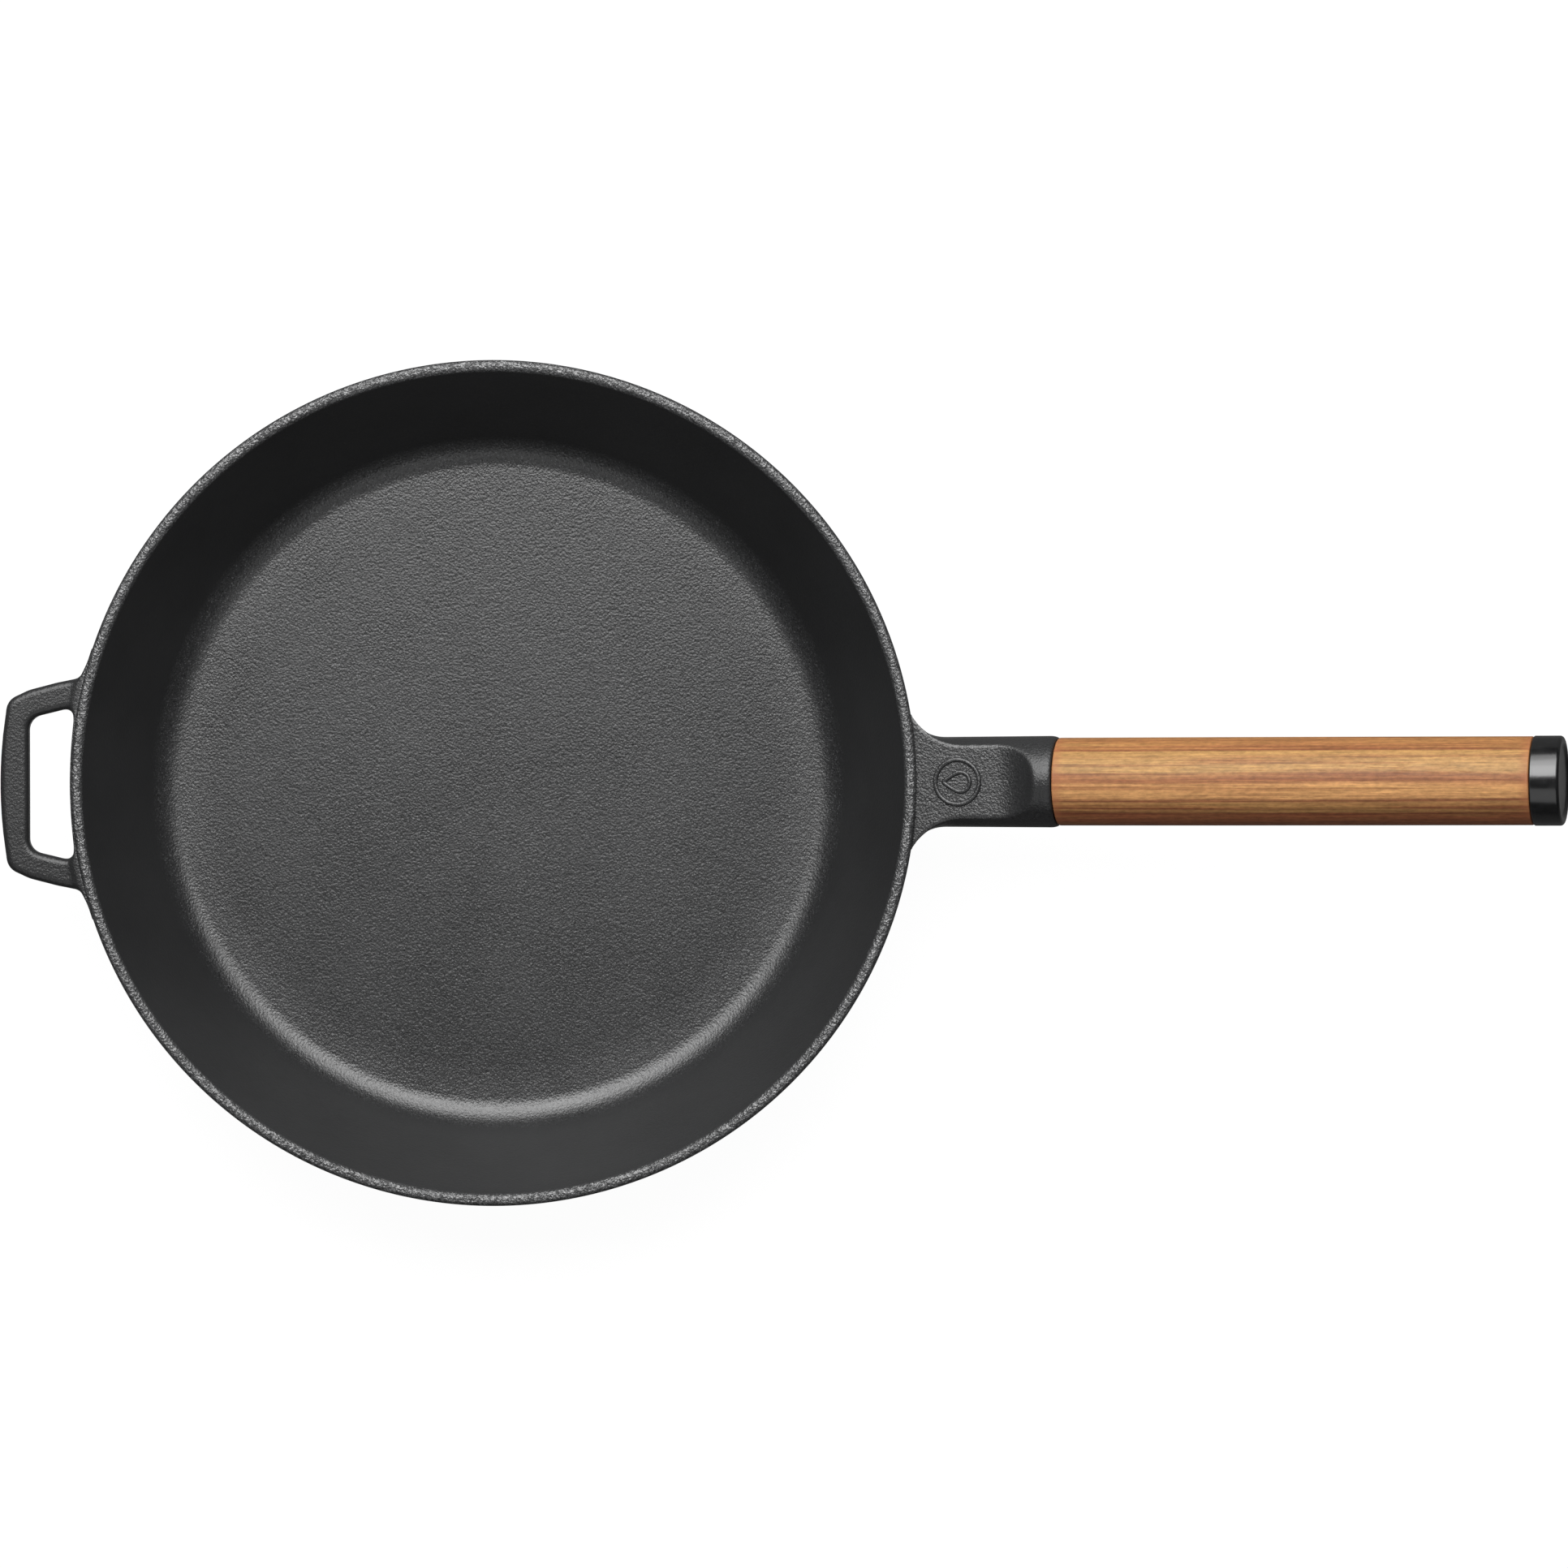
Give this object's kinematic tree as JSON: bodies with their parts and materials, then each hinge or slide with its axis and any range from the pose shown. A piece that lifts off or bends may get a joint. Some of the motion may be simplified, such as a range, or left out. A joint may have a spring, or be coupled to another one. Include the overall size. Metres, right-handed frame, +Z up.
{
  "type": "cast iron skillet",
  "caption": "Round cast iron skillet with flared walls, a small helper loop and a long wooden handle that unscrews by its end cap.",
  "frame": {"origin": "centre of the pan's flat underside", "axes": "+X along the long handle as seen from above, +Z up out of the bowl, +Y to the left of someone holding the handle and facing away from the pan"},
  "size_m": [0.561, 0.304, 0.1112],
  "materials": {
    "cast_iron": "matt black, sand-cast grain",
    "stained_wood": "oiled, long straight grain",
    "black_iron": "smooth satin black",
    "zinc_steel": "zinc plated",
    "spring_steel": "dark oiled spring steel"
  },
  "bodies": {
    "pan": {"pan_casting": "cast_iron"},
    "grip": {"handle_grip": "stained_wood", "plain_washer": "zinc_steel"},
    "rod": {"tie_rod": "zinc_steel", "end_cap": "black_iron", "lock_nut": "zinc_steel", "spring_washer": "spring_steel", "retaining_ring": "spring_steel"}
  },
  "joints": [
    {"name": "grip_slide", "type": "slide", "parent": "pan", "child": "grip", "axis": [0.9744, 0, 0.225], "range_m": [0, 0.0141]},
    {"name": "rod_turn", "type": "hinge", "parent": "grip", "child": "rod", "pos_m": [0.203, 0, 0.055], "axis": [0.9744, 0, 0.225], "range_deg": [0, 3385]}
  ],
  "couplings": [
    {"joint": "rod_turn", "follows": "grip_slide", "rad_per_m": 4188.8}
  ]
}
